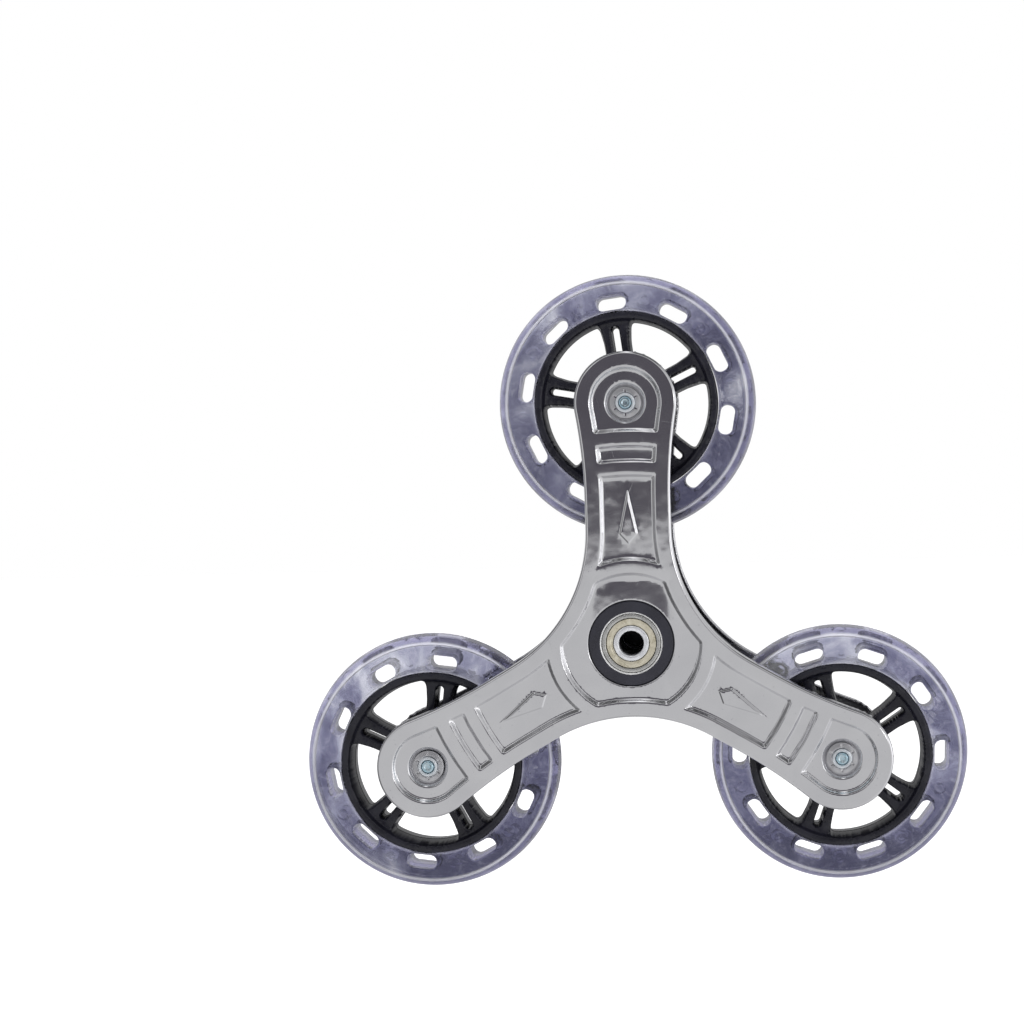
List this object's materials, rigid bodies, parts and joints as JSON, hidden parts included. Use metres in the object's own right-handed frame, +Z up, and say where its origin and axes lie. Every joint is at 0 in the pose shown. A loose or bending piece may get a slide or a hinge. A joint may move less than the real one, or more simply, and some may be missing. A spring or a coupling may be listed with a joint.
{
  "type": "stair climbing trolley wheel set",
  "caption": "Star carrier of two pressed chrome plates round a moulded core, with see-through slotted wheels at its arm ends and a ball bearing hub with a quick-release cap.",
  "frame": {"origin": "centre of the hub, on the axis of the trolley axle, in the middle plane of the wheels", "axes": "+Y along the axle towards the end cap, -Y out of the open bearing, +Z up through one arm"},
  "size_m": [0.324, 0.0672, 0.2973],
  "materials": {
    "chrome": "bright chrome plate on pressed steel sheet, brushed on the turned edge",
    "steel": "ground and plated steel",
    "shield": "satin, warm beige",
    "zinc": "blue zinc plate",
    "black_plastic": "moulded, slight sheen",
    "grey_plastic": "moulded, satin",
    "clear_polyurethane": "glossy, see-through, violet-blue tint"
  },
  "bodies": {
    "axle_mount": {"hub_bearing_inner_front": "steel", "hub_bearing_inner_rear": "steel", "axle_sleeve": "steel", "axle_retainer": "black_plastic", "end_cap": "grey_plastic"},
    "clip": {"spring_clip": "steel"},
    "wheel_top": {"tyre_top": "clear_polyurethane", "wheel_hub_top": "black_plastic", "wheel_bearing_outer_top_front": "steel", "wheel_bearing_outer_top_rear": "steel"},
    "wheel_left": {"tyre_left": "clear_polyurethane", "wheel_hub_left": "black_plastic", "wheel_bearing_outer_left_front": "steel", "wheel_bearing_outer_left_rear": "steel"},
    "wheel_right": {"tyre_right": "clear_polyurethane", "wheel_hub_right": "black_plastic", "wheel_bearing_outer_right_front": "steel", "wheel_bearing_outer_right_rear": "steel"},
    "carrier": {"plate_front": "chrome", "core_front": "black_plastic", "hub_bearing_outer_front": "steel", "hub_bearing_shield_front": "shield", "hub_bearing_balls_front": "steel", "plate_rear": "chrome", "core_rear": "black_plastic", "hub_bearing_outer_rear": "steel", "hub_bearing_shield_rear": "shield", "hub_bearing_balls_rear": "steel", "bolt_top": "zinc", "nut_top": "steel", "lock_washer_top": "steel", "inner_spacer_top": "steel", "wheel_bearing_inner_top_front": "steel", "side_spacer_top_front": "steel", "wheel_bearing_inner_top_rear": "steel", "side_spacer_top_rear": "steel", "bolt_left": "zinc", "nut_left": "steel", "lock_washer_left": "steel", "inner_spacer_left": "steel", "wheel_bearing_inner_left_front": "steel", "side_spacer_left_front": "steel", "wheel_bearing_inner_left_rear": "steel", "side_spacer_left_rear": "steel", "bolt_right": "zinc", "nut_right": "steel", "lock_washer_right": "steel", "inner_spacer_right": "steel", "wheel_bearing_inner_right_front": "steel", "side_spacer_right_front": "steel", "wheel_bearing_inner_right_rear": "steel", "side_spacer_right_rear": "steel"}
  },
  "joints": [
    {"name": "carrier_spin", "type": "hinge", "parent": "axle_mount", "child": "carrier", "pos_m": [0, 0, 0], "axis": [0, 1, 0], "continuous": true},
    {"name": "wheel_top_spin", "type": "hinge", "parent": "carrier", "child": "wheel_top", "pos_m": [0, 0, 0.115], "axis": [0, 1, 0], "continuous": true},
    {"name": "wheel_left_spin", "type": "hinge", "parent": "carrier", "child": "wheel_left", "pos_m": [-0.09959, 0, -0.0575], "axis": [0, 1, 0], "continuous": true},
    {"name": "wheel_right_spin", "type": "hinge", "parent": "carrier", "child": "wheel_right", "pos_m": [0.09959, 0, -0.0575], "axis": [0, 1, 0], "continuous": true},
    {"name": "clip_release", "type": "slide", "parent": "axle_mount", "child": "clip", "axis": [0, 0, 1], "range_m": [0, 0.004], "stiffness_N_per_m": 600, "springref_m": -0.002}
  ]
}
